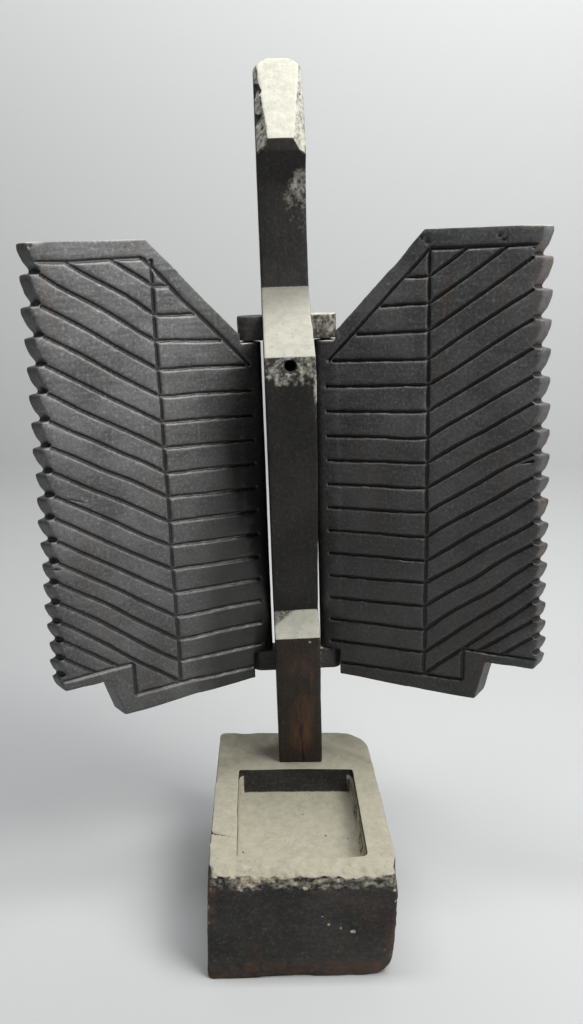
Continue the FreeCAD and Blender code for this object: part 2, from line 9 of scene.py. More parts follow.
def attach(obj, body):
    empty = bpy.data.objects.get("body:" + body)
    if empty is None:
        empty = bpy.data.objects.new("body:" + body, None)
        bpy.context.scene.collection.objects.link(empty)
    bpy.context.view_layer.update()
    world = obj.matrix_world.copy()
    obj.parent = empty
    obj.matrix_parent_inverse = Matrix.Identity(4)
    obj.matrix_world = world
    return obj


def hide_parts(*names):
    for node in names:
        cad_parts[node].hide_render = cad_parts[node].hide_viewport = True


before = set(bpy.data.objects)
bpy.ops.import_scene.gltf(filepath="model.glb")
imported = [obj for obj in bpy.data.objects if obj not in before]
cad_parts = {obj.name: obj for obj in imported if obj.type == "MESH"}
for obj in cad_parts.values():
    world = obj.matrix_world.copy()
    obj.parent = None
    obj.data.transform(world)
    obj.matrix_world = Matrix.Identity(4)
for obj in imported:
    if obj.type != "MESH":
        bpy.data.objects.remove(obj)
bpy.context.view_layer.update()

# Sizes below are in millimetres unless a name says otherwise. Each main piece
# of wood is a dense, worn copy of its CAD node. It is carved in its own
# straight frame, with the lean and the wing's sweep taken out, and put back.
MM = 0.001
BASE_TOP = 90.0
BASE_FRONT_Y = -97.0
LEAN_DEG = -2.5
LEAN_SHIFT = 5.0
HINGE_X = 29.75
HINGE_Y = 67.0
SWEEP_DEG = 28.0
WING_FACE = -9.5              # the carved face, in a flat wing's frame
HOLE_Z = 436.0                # the breast hole
HOLE_PAINT_R = 4.7            # what is painted near black as its inside, as painted shade
MOST_TRIANGLES = 190000
EDGE_KEEP = 0.02              # how far a worn copy stays inside its node's box

# Voxel sizes of the worn copies.
WING_VOXEL, BIRD_VOXEL, BASE_VOXEL, BAR_VOXEL = 0.75, 1.0, 1.0, 0.6

# What a worn copy can be painted with, each from 0 to 1: rubbed edges, also painted highlights
# on the wings; hollows, also painted shade; dust, also painted light in places; brown stain;
# bare wood; and painted shade.
PAINTS = ("edge", "hollow_and_shade", "dust_and_light", "brown", "bare", "shade")

SOOT_AND_SHADE = (0.005, 0.005, 0.004, 1)
PIT = (0.006, 0.006, 0.005, 1)
BROWN = (0.045, 0.026, 0.013, 1)
BROWN_STAIN = (0.14, 0.068, 0.030, 1)
RAW_WOOD = (0.30, 0.21, 0.12, 1)
PALE_RAW_WOOD = (0.60, 0.54, 0.43, 1)
DUST_AND_LIGHT = (0.50, 0.48, 0.395, 1)
BIRD_DUST_AND_LIGHT = (0.50, 0.492, 0.425, 1)
BASE_DUST = (0.50, 0.475, 0.37, 1)
DIRT = (0.13, 0.11, 0.075, 1)
SHADE = (0.09, 0.088, 0.07, 1)
RUBBED = (0.12, 0.11, 0.095, 1)
WING_RUB_AND_HIGHLIGHT = (0.26, 0.26, 0.24, 1)

scene = bpy.context.scene


# ------------------------------------------------------------------ frames
def leaned():
    """Straight bird to leaning bird, in millimetres."""
    pivot = Matrix.Translation((0, 0, BASE_TOP))
    turn = Matrix.Rotation(math.radians(LEAN_DEG), 4, "Y")
    return Matrix.Translation((LEAN_SHIFT, 0, 0)) @ pivot @ turn @ pivot.inverted()


def swept(side):
    """A flat wing, hinge on Z and carved face to -Y, to its place on the bird."""
    place = Matrix.Translation((side * HINGE_X, HINGE_Y, 0))
    return leaned() @ place @ Matrix.Rotation(math.radians(-side * SWEEP_DEG), 4, "Z")


# ------------------------------------------------------------------- noise
def lattice(cell, seed):
    """One steady number from 0 to 1 for each whole-number point."""
    h = (cell[:, 0] * 73856093) ^ (cell[:, 1] * 19349663) ^ (cell[:, 2] * 83492791)
    h = (h ^ (seed * 2654435)) & 0xFFFFFFFF
    for _ in range(2):
        h = ((h >> 16) ^ h) * 73244475 & 0xFFFFFFFF
    return ((h >> 16) ^ h) / 0xFFFFFFFF


def noise(points, size, seed, octaves=1):
    """Smooth noise from -1 to 1 whose features are about the given size."""
    total, weight = np.zeros(len(points)), 0.0
    for octave in range(octaves):
        scaled = points / (np.asarray(size, float) / 2 ** octave) + 31.7 * octave
        cell = np.floor(scaled).astype(np.int64)
        part = scaled - cell
        part = part * part * (3 - 2 * part)
        value = np.zeros(len(points))
        for corner in np.ndindex(2, 2, 2):
            share = np.prod(np.where(corner, part, 1 - part), axis=1)
            value += share * lattice(cell + np.array(corner), seed + octave)
        total += (2 * value - 1) / 2 ** octave
        weight += 1 / 2 ** octave
    return total / weight * 1.6


def dishes(points, size, seed):
    """Shallow dishes side by side, 1 at the middle of each and 0 at its rim."""
    scaled = points / np.asarray(size, float)
    cell = np.floor(scaled).astype(np.int64)
    nearest = np.full(len(points), 9.0)
    for step in np.ndindex(3, 3, 3):
        near = cell + np.array(step) - 1
        spot = np.stack([lattice(near, seed + axis) for axis in range(3)], axis=1)
        nearest = np.minimum(nearest, ((near + spot - scaled) ** 2).sum(1))
    return np.clip(1 - nearest, 0, 1)


def ramp(value, low, high):
    """0 below low, 1 above high, smooth between."""
    t = np.clip((value - low) / (high - low), 0, 1)
    return t * t * (3 - 2 * t)


def near_line(points, corners):
    """Distance to a line through the corners, and how far along it from 0 to 1."""
    best = np.full(len(points), 1e9)
    along = np.zeros(len(points))
    count = len(corners) - 1
    for k in range(count):
        a, b = np.array(corners[k], float), np.array(corners[k + 1], float)
        t = np.clip(((points - a) @ (b - a)) / ((b - a) @ (b - a)), 0, 1)
        gap = np.linalg.norm(points - a - t[:, None] * (b - a), axis=1)
        closer = gap < best
        best[closer] = gap[closer]
        along[closer] = (k + t[closer]) / count
    return best, along


# ------------------------------------------------------------- worn copies
class Worn:
    """A dense copy of a CAD node whose points can be moved, in its straight frame."""

    def __init__(self, node, place, voxel):
        self.node, self.place = node, place
        self.to_row = Matrix.Scale(MM, 4) @ place
        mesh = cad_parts[node].data.copy()
        mesh.transform(self.to_row.inverted())
        welded = bmesh.new()
        welded.from_mesh(mesh)
        bmesh.ops.remove_doubles(welded, verts=welded.verts, dist=1e-3)
        welded.to_mesh(mesh)
        welded.free()
        source = bpy.data.objects.new("source", mesh)
        scene.collection.objects.link(source)
        remesh = source.modifiers.new("remesh", "REMESH")
        remesh.mode, remesh.voxel_size, remesh.adaptivity = "VOXEL", voxel, 0
        self.mesh = self.evaluated(source)
        bpy.data.objects.remove(source)
        self.points = self.read("vertices", "co")
        self.low, self.high = self.points.min(0), self.points.max(0)
        ends = np.zeros(len(self.mesh.edges) * 2, np.int64)
        self.mesh.edges.foreach_get("vertices", ends)
        self.a, self.b = ends.reshape(-1, 2).T
        size = len(self.points)
        self.degree = np.bincount(self.a, minlength=size) + np.bincount(self.b, minlength=size)
        self.paints = {name: np.zeros(size) for name in PAINTS}
        self.fresh = np.zeros(size)
        self.dark = np.zeros(size)

    @staticmethod
    def evaluated(source):
        graph = bpy.context.evaluated_depsgraph_get()
        return bpy.data.meshes.new_from_object(source.evaluated_get(graph))

    def read(self, kind, field):
        values = np.zeros(len(self.mesh.vertices) * 3, np.float32)
        getattr(self.mesh, kind).foreach_get(field, values)
        return values.reshape(-1, 3).astype(float)

    def normals(self):
        self.mesh.vertices.foreach_set("co", self.points.astype(np.float32).ravel())
        self.mesh.update()
        return self.read("vertex_normals", "vector")

    def relaxed(self, values, rounds):
        """The values after each point has moved towards its neighbours' mean."""
        size = len(values)
        for _ in range(rounds):
            mean = np.stack([
                np.bincount(self.a, values[self.b, k], size)
                + np.bincount(self.b, values[self.a, k], size)
                for k in range(values.shape[1])], axis=1) / self.degree[:, None]
            values = (values + mean) / 2
        return values

    def bulge(self, rounds):
        """Points smoothed over a radius, and how far each stands out from there."""
        soft = self.relaxed(self.points, rounds)
        return soft, ((self.points - soft) * self.normals()).sum(1)

    def wear(self, rounds, share, hollow=0.0):
        """Rounds what stands out by a share, from 0 to 1, and fills hollows by another.

        More rounds reach a wider edge.
        """
        soft, out = self.bulge(rounds)
        amount = np.where(out > 0, share, hollow)
        self.points += amount[:, None] * (soft - self.points)

    def sink(self, depth):
        """Moves the surface into the wood."""
        self.points -= self.normals() * np.maximum(depth, 0)[:, None]

    def warp(self, amount, size, seed):
        """Lets straight cuts and edges wander."""
        shift = np.stack([noise(self.points, size, seed + k) for k in range(3)], axis=1)
        self.points += shift * np.asarray(amount, float)

    def paint(self, name, values):
        self.paints[name] = np.clip(values, 0, 1)

    def deepen(self, share):
        """Cuts the hollows of the surface deeper."""
        out = self.bulge(5)[1]
        self.sink(share * np.maximum(-out, 0))

    def chip(self, centre, radius, depth, fresh=1.0):
        """A broken-out spot; fresh says how much of the bare wood shows."""
        seed = int(abs(centre[0]) * 7 + centre[2])
        rim = 1 + 0.35 * noise(self.points, radius * 0.8, seed)
        gap = np.linalg.norm(self.points - np.array(centre, float), axis=1) / (radius * rim)
        self.sink(depth * np.clip(1 - gap ** 2, 0, 1))
        self.fresh = np.maximum(self.fresh, fresh * ramp(1 - gap, 0, 0.35))

    def crack(self, corners, width, depth):
        """A split that tapers from its first corner to its last."""
        gap, along = near_line(self.points, corners)
        wide = width * (1.05 - along)
        inside = np.clip(1 - gap / wide, 0, 1)
        self.sink(depth * (1.1 - along) * np.sqrt(inside))
        self.dark = np.maximum(self.dark, ramp(inside, 0.05, 0.5))

    def finish(self, name, body, material, grain):
        """Puts the piece in its place on its body, in the CAD node's stead.

        grain is the order of axes that puts the wood's grain along X.
        """
        self.points = np.clip(self.points, self.low + EDGE_KEEP, self.high - EDGE_KEEP)
        self.normals()  # also writes the points to the mesh
        for key, values in self.paints.items():
            layer = self.mesh.attributes.new(key, "FLOAT", "POINT")
            layer.data.foreach_set("value", values.astype(np.float32))
        layer = self.mesh.attributes.new("grain", "FLOAT_VECTOR", "POINT")
        turned = self.points[:, grain] * MM
        layer.data.foreach_set("vector", turned.astype(np.float32).ravel())
        thin = bpy.data.objects.new("thin", self.mesh)
        scene.collection.objects.link(thin)
        decimate = thin.modifiers.new("thin", "DECIMATE")
        decimate.ratio = min(1.0, MOST_TRIANGLES / (2 * len(self.mesh.polygons)))
        mesh = self.evaluated(thin)
        bpy.data.objects.remove(thin)
        mesh.transform(self.to_row)
        mesh.shade_smooth()
        mesh.name = name
        mesh.materials.clear()
        mesh.materials.append(material)
        piece = bpy.data.objects.new(name, mesh)
        scene.collection.objects.link(piece)
        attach(piece, body)
        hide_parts(self.node)
        return piece

    def facing_up(self):
        """How much each point looks up once the piece is in its place."""
        turn = np.array(self.place.to_3x3())
        return self.relaxed(self.normals() @ turn.T, 1)[:, 2]


# --------------------------------------------------------------- materials
class Shader:
    """A material's node tree, with short ways to add to it."""

    def __init__(self, name):
        self.material = bpy.data.materials.new(name)
        self.material.use_nodes = True
        self.tree = self.material.node_tree
        self.tree.nodes.clear()

    def add(self, kind, inputs=(), **settings):
        node = self.tree.nodes.new(kind)
        for key, value in settings.items():
            setattr(node, key, value)
        for key, value in dict(inputs).items():
            self.put(node.inputs[key], value)
        return node

    def put(self, socket, value):
        if isinstance(value, bpy.types.NodeSocket):
            self.tree.links.new(value, socket)
        else:
            socket.default_value = value

    def attribute(self, name):
        return self.add("ShaderNodeAttribute", attribute_name=name)

    def math(self, operation, a, b=0.0):
        node = self.add("ShaderNodeMath", {0: a, 1: b}, operation=operation)
        return node.outputs[0]

    def scaled(self, vector, scale):
        node = self.add("ShaderNodeVectorMath", {0: vector, 1: scale}, operation="MULTIPLY")
        return node.outputs[0]

    def noise(self, vector, scale, detail=4.0, rough=0.55):
        node = self.add("ShaderNodeTexNoise", {
            "Vector": vector, "Scale": scale, "Detail": detail, "Roughness": rough})
        return node.outputs["Fac"]

    def range(self, value, low, high, to_low=0.0, to_high=1.0):
        node = self.add("ShaderNodeMapRange", {
            "Value": value, "From Min": low, "From Max": high, "To Min": to_low,
            "To Max": to_high}, interpolation_type="SMOOTHSTEP")
        return node.outputs[0]

    def mix(self, fac, a, b):
        node = self.add("ShaderNodeMix", data_type="RGBA")
        for index, value in ((0, fac), (6, a), (7, b)):
            self.put(node.inputs[index], value)
        return node.outputs[2]


def grey(level, warm=0.0):
    """A colour from its brightness, a little warmer or cooler."""
    return (level * (1 + warm), level, level * (1 - 1.6 * warm), 1.0)


def dimmed(colour, share):
    return tuple(share * c for c in colour[:3]) + (1,)


def old_wood(name, dark, light, dust_and_light=DUST_AND_LIGHT, edge=RUBBED, rough=0.5, grain_depth=0.25,
             from_mesh=True, patches=0.5, gloss=0.5):
    """Smoke-blackened old wood between two greys.

    On a Worn copy it reads what was painted on the mesh, see PAINTS. The dust colour is
    that of dust which in places also carries painted light, the edge colour that of rubbed
    wood which on the wings also carries painted highlights, and patches is how much brown
    shows.
    """
    s = Shader(name)
    if from_mesh:
        place = s.attribute("grain").outputs["Vector"]
    else:
        place = s.add("ShaderNodeTexCoord").outputs["Object"]
    along = s.scaled(place, (0.10, 1.0, 1.0))
    broad = s.noise(place, 26.0, 3.0)
    streak = s.noise(along, 420.0, 4.0, 0.6)
    fibre = s.noise(along, 1500.0, 2.0, 0.6)
    mottle = s.noise(place, 140.0, 5.0, 0.65)
    speck = s.noise(place, 650.0, 4.0, 0.7)
    grit = s.noise(place, 430.0, 5.0, 0.75)

    def cover(colour, over, amount, share=1.0):
        """The colour with another over it, by an amount times a share."""
        return s.mix(s.math("MULTIPLY", amount, share), colour, over)

    colour = s.mix(s.range(broad, 0.35, 0.68), dark, light)
    colour = cover(colour, light, s.range(streak, 0.45, 0.7), 0.45)
    colour = cover(colour, BROWN, s.range(mottle, 0.52, 0.75), patches)
    colour = cover(colour, dimmed(light, 3.0), s.range(grit, 0.50, 0.72), 0.5)
    colour = cover(colour, PIT, s.range(grit, 0.48, 0.30), 0.6)
    roughness = s.range(streak, 0.3, 0.7, rough - 0.06, rough + 0.10)
    if from_mesh:
        layer = {key: s.attribute(key).outputs["Fac"] for key in PAINTS}
        streaky = s.range(streak, 0.25, 0.75, 0.5, 1.0)
        colour = cover(colour, BROWN_STAIN, layer["brown"], streaky)
        # Rubbed edges in a lighter colour, which on the wings also carry painted highlights.
        wear_and_highlight_mask = s.math("ADD", layer["edge"], s.math("MULTIPLY", speck, 0.7))
        colour = cover(colour, edge, s.range(wear_and_highlight_mask, 0.75, 1.15), 0.75)
        # Near black in hollows and cracks, which also carries painted shade: the plank's
        # shadow on the left wing, the wings darker towards the bottom, the left wing's end
        # faces and the inside of the breast hole.
        colour = cover(colour, SOOT_AND_SHADE, layer["hollow_and_shade"], 0.9)
        raw = s.math("ADD", layer["bare"], s.math("MULTIPLY", speck, 0.5))
        raw_colour = s.mix(s.range(speck, 0.4, 0.6), RAW_WOOD, PALE_RAW_WOOD)
        colour = s.mix(s.range(raw, 0.55, 0.9), colour, raw_colour)
        # Pale dust, which in places also carries painted light: the pool of light on the
        # bird's neck and the lit right parts of the bars.
        grime = s.math("ADD", s.math("MULTIPLY", mottle, 0.35), s.math("MULTIPLY", grit, 0.65))
        dust_and_light_share = s.range(s.math("ADD", layer["dust_and_light"], grime), 0.70, 1.06)
        dust_and_light_colour = s.mix(s.range(mottle, 0.30, 0.75), dust_and_light, dimmed(dust_and_light, 0.80))
        dust_and_light_colour = cover(dust_and_light_colour, DIRT, s.range(grit, 0.54, 0.72), 0.55)
        colour = s.mix(dust_and_light_share, colour, dust_and_light_colour)
        colour = s.mix(layer["shade"], colour, SHADE)
        roughness = s.mix(dust_and_light_share, roughness, (0.95, 0.95, 0.95, 1))

    height = s.math("ADD", s.math("MULTIPLY", fibre, 0.5), streak)
    height = s.math("ADD", height, s.math("MULTIPLY", speck, 0.6))
    bump = s.add("ShaderNodeBump", {
        "Strength": grain_depth, "Distance": 0.0006, "Height": height})
    surface = s.add("ShaderNodeBsdfPrincipled", {
        "Base Color": colour, "Roughness": roughness, "Normal": bump.outputs[0]})
    surface.inputs["Specular IOR Level"].default_value = gloss
    s.add("ShaderNodeOutputMaterial", {"Surface": surface.outputs[0]})
    return s.material


# The two wings share one wood, painted lighter on the left wing and darker on the right:
# painted light and shade, for the left wing faces the lamps and the right one turns away from
# them.
wing_skin = {
    -1: old_wood("wood_left_wing_lit", grey(0.080, -0.005), grey(0.150, -0.005),
                 edge=WING_RUB_AND_HIGHLIGHT, rough=0.42, patches=0.2, gloss=0.6),
    1: old_wood("wood_right_wing_shaded", grey(0.060, -0.01), grey(0.110, -0.01),
                edge=WING_RUB_AND_HIGHLIGHT, rough=0.44, patches=0.2),
}
bird_skin = old_wood("wood_bird", grey(0.012, 0.04), grey(0.024, 0.05),
                     dust_and_light=BIRD_DUST_AND_LIGHT, rough=0.58, grain_depth=0.4, gloss=0.3)
base_skin = old_wood("wood_base", grey(0.015, 0.03), grey(0.036, 0.04),
                     dust_and_light=BASE_DUST, rough=0.6, grain_depth=0.7, gloss=0.3)
bar_skin = old_wood("wood_bars", grey(0.022, 0.03), grey(0.045, 0.03),
                    rough=0.6, grain_depth=0.5)
peg_skin = old_wood("wood_pegs", grey(0.04, 0.05), grey(0.09, 0.08),
                    rough=0.6, from_mesh=False)


# ------------------------------------------------------------------- wings
# Splits from the outer edge, as (reach, height) from the hinge, with width and depth,
# and chips as (reach, height, radius) with one depth and share of bare wood a wing.
WING_SPLITS = {
    -1: ((((158, 350), (148, 348), (135, 343)), 1.5, 3.0),
         (((170, 300), (160, 299)), 1.2, 2.5)),
    1: ((((163, 366), (151, 363), (139, 355)), 1.3, 2.5),),
}
WING_CHIPS = {
    -1: (((162, 523, 2.0),), 1.0, 0.3),
    1: (((137, 518, 3.0), (132, 514, 1.6), (140, 514, 1.6), (134, 521, 2.0),
         (83, 518, 2.4), (79, 521, 1.6), (158, 508, 1.8), (157, 512, 1.3),
         (156, 196, 3.0)), 1.2, 0.35),
}


def wing(side):
    """One wing board: side is -1 for the left and 1 for the right."""
    name = "left_wing" if side < 0 else "right_wing"
    seed = 100 if side < 0 else 200
    w = Worn(name, swept(side), WING_VOXEL)
    # The edges stay straight near the hinge, so that the wing clears the bars as it swings.
    loose = ramp(side * w.points[:, 0], 30, 70)[:, None]
    w.warp(loose * np.array((0.5, 0.1, 0.8)), (34, 30, 24), seed)
    w.wear(4, 0.6)
    reach = side * w.points[:, 0]
    teeth = ramp(reach, 146, 158)
    chips = ramp(noise(w.points, 13, seed + 5, 2), 0.25, 0.8)
    w.wear(26, np.clip(0.06 + 0.45 * chips * (reach > 20) + 0.75 * teeth, 0, 1))
    w.deepen(1.1)
    w.sink(0.06 * (1 + noise(w.points, (60, 40, 40), seed + 11)))
    w.sink(0.30 * dishes(w.points, (24, 14, 9), seed + 17) * (reach > 14))
    w.sink(0.05 * (1 + noise(w.points, (14, 2.2, 2.2), seed + 23)))
    for corners, width, depth in WING_SPLITS[side]:
        w.crack([(side * far, WING_FACE, height) for far, height in corners], width, depth)
    spots, depth, fresh = WING_CHIPS[side]
    for far, height, radius in spots:
        w.chip((side * far, WING_FACE, height), radius, depth, fresh)

    out = w.bulge(4)[1]
    deep = w.bulge(16)[1]
    up = w.facing_up()
    x, y, z = w.points.T
    reach = side * x
    on_face = ramp(-y, 5.5, 7.5)
    broad = noise(w.points, (50, 30, 50), seed + 31, 2)
    ends = ramp(reach, 146, 154) * (z < 515)
    hollow = ramp(-deep, 0.04, 0.30)
    # Rubbed edges, which also stand in for the highlight on the rounded stile, and a painted
    # highlight on the lower lips of the grooves, which look up.
    lit_lips = on_face * ramp(up, 0.12, 0.35) * ramp(deep, -0.10, 0.04)
    w.paint("edge", out / 0.7 + 0.42 * lit_lips * (1 - ends))

    # Painted shade: the plank's shadow on the left wing's inner part, both wings darker
    # towards the bottom, and the left wing's end faces, which turn away from the lamps.
    plank_shadow = ramp(84 - reach, 0, 66) * (0.55 + 0.45 * ramp(430 - z, 0, 200)) * (side < 0)
    darker_towards_bottom = (0.45 if side < 0 else 0.62) * ramp(500 - z, 0, 300)
    shaded_ends = 0.5 * (side < 0) * ramp(reach, 146, 154) * (1 - on_face)
    w.paint("hollow_and_shade", np.maximum(hollow, w.dark) + shaded_ends + 0.85 * plank_shadow + darker_towards_bottom)

    on_top = 0.55 * ramp(up, 0.55, 0.95) + 0.05 * broad
    w.paint("dust_and_light", on_top * (1 - 0.75 * ends) * (1 - hollow) * (1 - w.dark))

    streaks = ramp(noise(w.points, (9, 30, 60), seed + 37, 2), 0.3, 0.9)
    brown_ends = ends * (1 - on_face) * ramp(noise(w.points, 9, seed + 41, 2), -0.3, 0.6)
    w.paint("brown", 0.18 * streaks + 0.45 * brown_ends)
    w.paint("bare", w.fresh)
    w.finish(name + "_board", name, wing_skin[side], [0, 1, 2])


# --------------------------------------------------------------- the bird
def bird():
    w = Worn("body_plank", leaned(), BIRD_VOXEL)
    w.warp((0.15, 0.4, 0.4), (60, 50, 50), 300)
    w.wear(4, 0.6)
    chips = ramp(noise(w.points, 16, 305, 2), 0.15, 0.8)
    w.wear(50, 0.03 + 0.28 * chips)
    w.sink(0.04 * (1 + noise(w.points, (40, 40, 70), 311)))
    w.sink(0.22 * dishes(w.points, (14, 14, 30), 317))
    w.sink(0.06 * (1 + noise(w.points, (3, 3, 16), 319, 2)))
    w.chip((17, 81, 490), 2.4, 1.2)
    w.chip((10, 34.5, 209), 1.6, 1.0)
    w.chip((-18, 100, 628), 8, 2.0, 0.0)
    w.chip((-17, 86, 606), 6, 1.6, 0.0)
    w.crack([(2, 47, 92), (0, 43, 130), (1, 40, 160)], 0.9, 1.5)

    out = w.bulge(5)[1]
    up = w.facing_up()
    x, y, z = w.points.T
    broad = noise(w.points, (30, 30, 40), 331, 2)
    mottled = noise(w.points, 5, 335, 3)
    fine = noise(w.points, 2.6, 343, 3)
    # Inside the breast hole: painted shade, near black and with no dust.
    hole_painted_dark = (np.hypot(x, z - HOLE_Z) < HOLE_PAINT_R) * (y > 4)
    slope = (z > 440) * (z < 492)
    level = ramp(up, 0.26, 0.55)
    w.paint("shade", slope * (0.34 + 0.42 * ramp(z - 0.25 * x, 458, 486)) * level)

    # Dust and painted light: dust on all that looks up, then round the hole, on the cheeks
    # beside the pale crown and along one edge below the breast; on the neck's right side a
    # painted pool of light.
    dust_and_light = 0.82 * level + 0.05 * broad
    facet = ramp(14 - y, 0, 4) * ramp(z, 419, 424) * ramp(450 - z, 0, 3)
    round_hole = 0.28 + 0.12 * mottled + 0.14 * noise(w.points, 2.6, 345, 3)
    dust_and_light = np.maximum(dust_and_light, facet * round_hole)
    crown_half = 9.5 + 6.5 * ramp(z, 590, 650) + 1.2 * noise(w.points, 9, 341, 2)
    cheek = ramp(z, 575, 590) * ramp(abs(x) - crown_half, -0.5, 1.0) * ramp(up, 0.03, 0.2)
    cheek_dust = np.where(x < 0, 0.37 + 0.12 * fine, 0.43 + 0.14 * fine)
    dust_and_light = dust_and_light + cheek * (cheek_dust - dust_and_light)
    light_pool_edge = -2 + 0.55 * np.maximum(z - 552, 0) + 0.35 * np.maximum(552 - z, 0)
    neck_light_pool = (ramp(x - light_pool_edge + 2 * mottled, -4, 6) * ramp(z, 515, 530)
                  * ramp(578 - z, 0, 8) * ramp(90 - y, 0, 8))
    dust_and_light = np.maximum(dust_and_light, neck_light_pool * (0.42 + 0.12 * fine))
    rubbed_edge = ramp(x, 14, 17.5) * ramp(z, 380, 425) * (z < 430) * (y < 30)
    dust_and_light = np.maximum(dust_and_light, rubbed_edge * (0.42 + 0.2 * mottled))
    ledge_shade = ramp(-x + 1.4 * (y - 48), 4, 16) * (z < 235) * (z > 205)
    dust_and_light = dust_and_light * (1 - 0.6 * ledge_shade)
    w.paint("dust_and_light", dust_and_light * (1 - hole_painted_dark) * (1 - w.dark))

    w.paint("edge", out / 0.6)
    w.paint("hollow_and_shade", np.maximum(np.maximum(-out / 0.5, w.dark), 1.0 * hole_painted_dark))
    streak = (ramp(13 - abs(x - 2 - 0.03 * (z - 150)), 0, 9) * ramp(z, 95, 115)
              * ramp(207 - z, 0, 30) * ramp(62 - y, 0, 8))
    leg = 0.12 * (z < 215)
    w.paint("brown", streak * (0.45 + 0.7 * noise(w.points, (7, 10, 24), 337, 3)) + leg)
    w.paint("bare", w.fresh)
    w.finish("bird_board", "stand", bird_skin, [2, 0, 1])


# --------------------------------------------------------------- the base
# Short splits in the tray's floor, as start and end, and chips on the front as
# (place, radius, share of bare wood).
TRAY_FLOOR = 66
TRAY_SPLITS = (((22, -20), (24, -23)), ((39, -24), (42, -23)), ((-30, 14), (-27, 13)),
               ((-12, -52), (-9, -53)), ((-44, -40), (-42, -43)), ((5, 8), (8, 7)))
BASE_CHIPS = (
    ((2, -95, 78), 2.2, 1.0), ((37, -96, 40), 2.2, 1.0), ((19, -96, 47), 1.6, 1.0),
    ((14, -96, 54), 1.1, 0.9), ((28, -96, 43), 1.0, 0.9), ((66, -93, 66), 3.0, 0.7),
    ((-38, -94, 85), 8.0, 0.55), ((-50, -93, 84), 5.0, 0.5), ((-30, -93, 87), 4.0, 0.5),
    ((-67, -92, 62), 4.0, 0.45), ((-67, -93, 48), 3.0, 0.45), ((-8, -95, 84), 2.0, 0.8),
)


def base():
    w = Worn("base_block", Matrix.Identity(4), BASE_VOXEL)
    w.warp((0.3, 0.4, 0.5), (50, 50, 40), 400)
    w.wear(6, 0.8, 0.1)
    x, y, z = w.points.T
    lip_wave = 1 + 0.35 * noise(w.points, 22, 403, 2)
    front_lip = ramp(1 - np.hypot(y - BASE_FRONT_Y, z - BASE_TOP) / (17 * lip_wave), 0, 0.5)
    low_right = ramp(x, 45, 60) * ramp(40 - z, 0, 25)
    in_tray = (abs(x) < 51) * (y < 40) * (y > -78) * (z < 86)
    chips = ramp(noise(w.points, 20, 405, 2), 0.1, 0.8)
    rounding = np.clip(0.06 + 0.30 * chips + 0.85 * front_lip + 0.8 * low_right, 0, 1)
    w.wear(150, rounding, 0.8 * in_tray)
    w.sink(front_lip * 1.2 * (1 + noise(w.points, 5, 407, 3)))
    w.sink(0.05 * (1 + noise(w.points, (70, 50, 35), 411)))
    w.sink(0.30 * dishes(w.points, (34, 22, 16), 417))
    rough = 0.4 + 1.4 * (y < -90) * (z < 84)
    w.sink(0.22 * rough * np.clip(0.7 + noise(w.points, (14, 5, 4), 419, 3), 0, 2))
    w.crack([(-70, -46, 88.5), (-60, -49, 89.5), (-47, -53, 89)], 1.7, 3.0)
    for start, end in TRAY_SPLITS:
        w.crack([start + (TRAY_FLOOR,), end + (TRAY_FLOOR,)], 1.2, 0.8)
    w.crack([(-67, -62, 84), (-52, -93, 86), (-40, -94, 86)], 1.3, 2.0)
    w.crack([(-3, -97, 62), (14, -97, 52), (26, -97, 44)], 0.8, 0.8)
    for spot, radius, fresh in BASE_CHIPS:
        w.chip(spot, radius, 1.0, fresh)

    out = w.bulge(6)[1]
    up = w.facing_up()
    x, y, z = w.points.T
    broad = noise(w.points, (40, 40, 40), 431, 2)
    mottled = noise(w.points, 5, 435, 4)
    on_front = y < -90
    top = ramp(up, 0.30, 0.8)
    to_back = ramp(y - 0.3 * x, 30, 78)
    w.paint("shade", top * (0.30 + 0.32 * to_back * (1 + 0.3 * mottled)))

    dust_and_light = 0.80 * top + 0.05 * broad
    tray_wall = in_tray * (z < 84) * (z > 67) * (abs(x) > 44)
    dust_and_light = np.maximum(dust_and_light, tray_wall * (0.45 + 0.25 * mottled + 0.2 * (x < 0)))
    fine = noise(w.points, (5, 3, 2.2), 447, 3)
    on_lip = 0.32 + 0.18 * fine + 0.05 * ramp(x, 20, 60)
    dust_and_light = np.maximum(dust_and_light, front_lip * on_lip * (y < -80))
    scratches = 0.11 + 0.08 * noise(w.points, (9, 3, 1.8), 449, 3)
    dust_and_light = np.maximum(dust_and_light, scratches * on_front)
    w.paint("dust_and_light", dust_and_light * (1 - w.dark))

    w.paint("edge", out / 0.8)
    w.paint("hollow_and_shade", np.maximum(-out / 0.6, w.dark))
    low = ramp(22 - z, 0, 14) * ramp(-y, 80, 92)
    right_low = ramp(x, 52, 66) * ramp(52 - z, 0, 30)
    left_edge = ramp(-x, 60, 66) * ramp(-y, 85, 92) * ramp(z, 40, 55)
    scattered = ramp(noise(w.points, (16, 20, 11), 441, 3), 0.25, 0.8) * ramp(-y, 88, 94)
    back_corner = ramp(x, 42, 60) * ramp(y, 60, 80) * top
    w.paint("brown", (0.45 * low + 0.5 * right_low + 0.9 * left_edge) * (0.6 + 0.8 * mottled)
            + 0.12 * scattered + 0.4 * back_corner)
    w.paint("bare", w.fresh)
    w.finish("base_tray", "stand", base_skin, [0, 1, 2])


